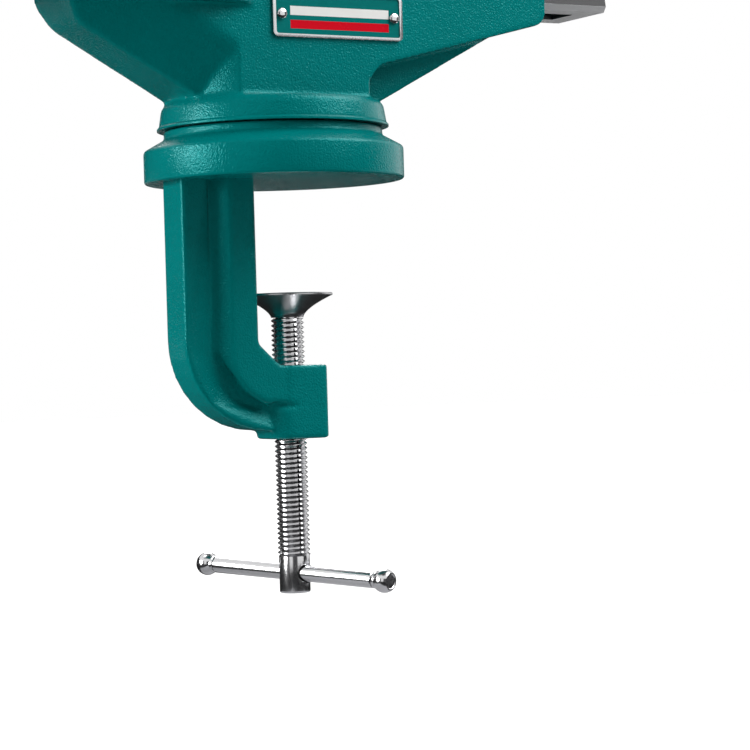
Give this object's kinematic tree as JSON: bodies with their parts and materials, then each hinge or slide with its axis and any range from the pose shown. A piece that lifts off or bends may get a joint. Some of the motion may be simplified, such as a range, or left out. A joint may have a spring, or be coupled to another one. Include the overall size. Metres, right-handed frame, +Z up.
{
  "type": "clamp-on swivel bench vise",
  "caption": "Small bench vise on a round swivel base, with a C-shaped screw clamp for a bench edge, a sliding front jaw, a lead screw with T-bar and a rear anvil.",
  "frame": {"origin": "on the swivel axis, in the flat underside of the round foot that rests on the bench top", "axes": "+Z up, +Y to the back of the vise with the anvil, -Y to the operator and the lead screw's bar, +X to the side with the name plate"},
  "size_m": [0.1215, 0.3137, 0.2868],
  "materials": {
    "teal_paint": "glossy textured paint over cast iron",
    "chrome": "bright plated steel",
    "ground_steel": "machined, bare",
    "hardened_steel": "hardened, grooved",
    "blackened_steel": "black oxide",
    "plate_metal": "printed sheet with a bright raised rim",
    "bronze": "turned"
  },
  "bodies": {
    "base": {"clamp_frame": "teal_paint", "pivot_bolt": "blackened_steel", "pivot_washer": "ground_steel"},
    "pad": {"clamp_pad": "chrome"},
    "clamp_spindle": {"clamp_screw": "chrome"},
    "clamp_handle": {"clamp_bar": "chrome", "clamp_bar_cap_near": "chrome", "clamp_bar_cap_far": "chrome"},
    "body": {"swivel_body": "teal_paint", "lead_screw_nut": "ground_steel", "name_plate": "plate_metal", "name_plate_rivet_front": "chrome", "name_plate_rivet_back": "chrome", "fixed_jaw_plate": "hardened_steel", "fixed_jaw_screw_near": "blackened_steel", "fixed_jaw_screw_far": "blackened_steel"},
    "jaw": {"moving_jaw": "teal_paint", "moving_jaw_plate": "hardened_steel", "moving_jaw_screw_near": "blackened_steel", "moving_jaw_screw_far": "blackened_steel", "return_spring": "ground_steel"},
    "lead_spindle": {"lead_screw": "chrome", "thrust_washer": "ground_steel", "spring_washer": "ground_steel", "spring_pin": "ground_steel"},
    "lead_handle": {"lead_screw_bar": "chrome", "lead_screw_bar_cap_near": "chrome", "lead_screw_bar_cap_far": "chrome"},
    "lock_foot": {"lock_shoe": "bronze"},
    "lock_spindle": {"lock_screw": "chrome"},
    "lock_handle": {"lock_bar": "chrome", "lock_bar_cap_upper": "chrome", "lock_bar_cap_lower": "chrome"}
  },
  "joints": [
    {"name": "swivel", "type": "hinge", "parent": "base", "child": "body", "pos_m": [0, 0, 0.019], "axis": [0, 0, 1], "continuous": true},
    {"name": "jaw_travel", "type": "slide", "parent": "body", "child": "jaw", "axis": [0, 1, 0], "range_m": [-0.045, 0.0197]},
    {"name": "lead_screw_turn", "type": "hinge", "parent": "jaw", "child": "lead_spindle", "pos_m": [0, -0.15, 0.0785], "axis": [0, 1, 0], "range_deg": [-5401, 2365]},
    {"name": "lead_bar_shift", "type": "slide", "parent": "lead_spindle", "child": "lead_handle", "axis": [1, 0, 0], "range_m": [-0.037, 0.037]},
    {"name": "clamp_travel", "type": "slide", "parent": "base", "child": "pad", "axis": [0, 0, 1], "range_m": [-0.0165, 0.04]},
    {"name": "clamp_screw_turn", "type": "hinge", "parent": "pad", "child": "clamp_spindle", "pos_m": [0, 0.0035, -0.1], "axis": [0, 0, 1], "range_deg": [-3395, 8229]},
    {"name": "clamp_bar_shift", "type": "slide", "parent": "clamp_spindle", "child": "clamp_handle", "axis": [0.9087, 0.4141, -0.0523], "range_m": [-0.0286, 0.0295]},
    {"name": "lock_travel", "type": "slide", "parent": "body", "child": "lock_foot", "axis": [1, 0, 0], "range_m": [-0.0015, 0]},
    {"name": "lock_screw_turn", "type": "hinge", "parent": "lock_foot", "child": "lock_spindle", "pos_m": [-0.04, 0, 0.0275], "axis": [1, 0, 0], "range_deg": [-433, 1]},
    {"name": "lock_bar_shift", "type": "slide", "parent": "lock_spindle", "child": "lock_handle", "axis": [0, 0.5, 0.866], "range_m": [-0.014, 0.014]}
  ],
  "couplings": [
    {"joint": "lead_screw_turn", "follows": "jaw_travel", "rad_per_m": 2094.4},
    {"joint": "clamp_screw_turn", "follows": "clamp_travel", "rad_per_m": 3590.4},
    {"joint": "lock_screw_turn", "follows": "lock_travel", "rad_per_m": 5026.5}
  ]
}
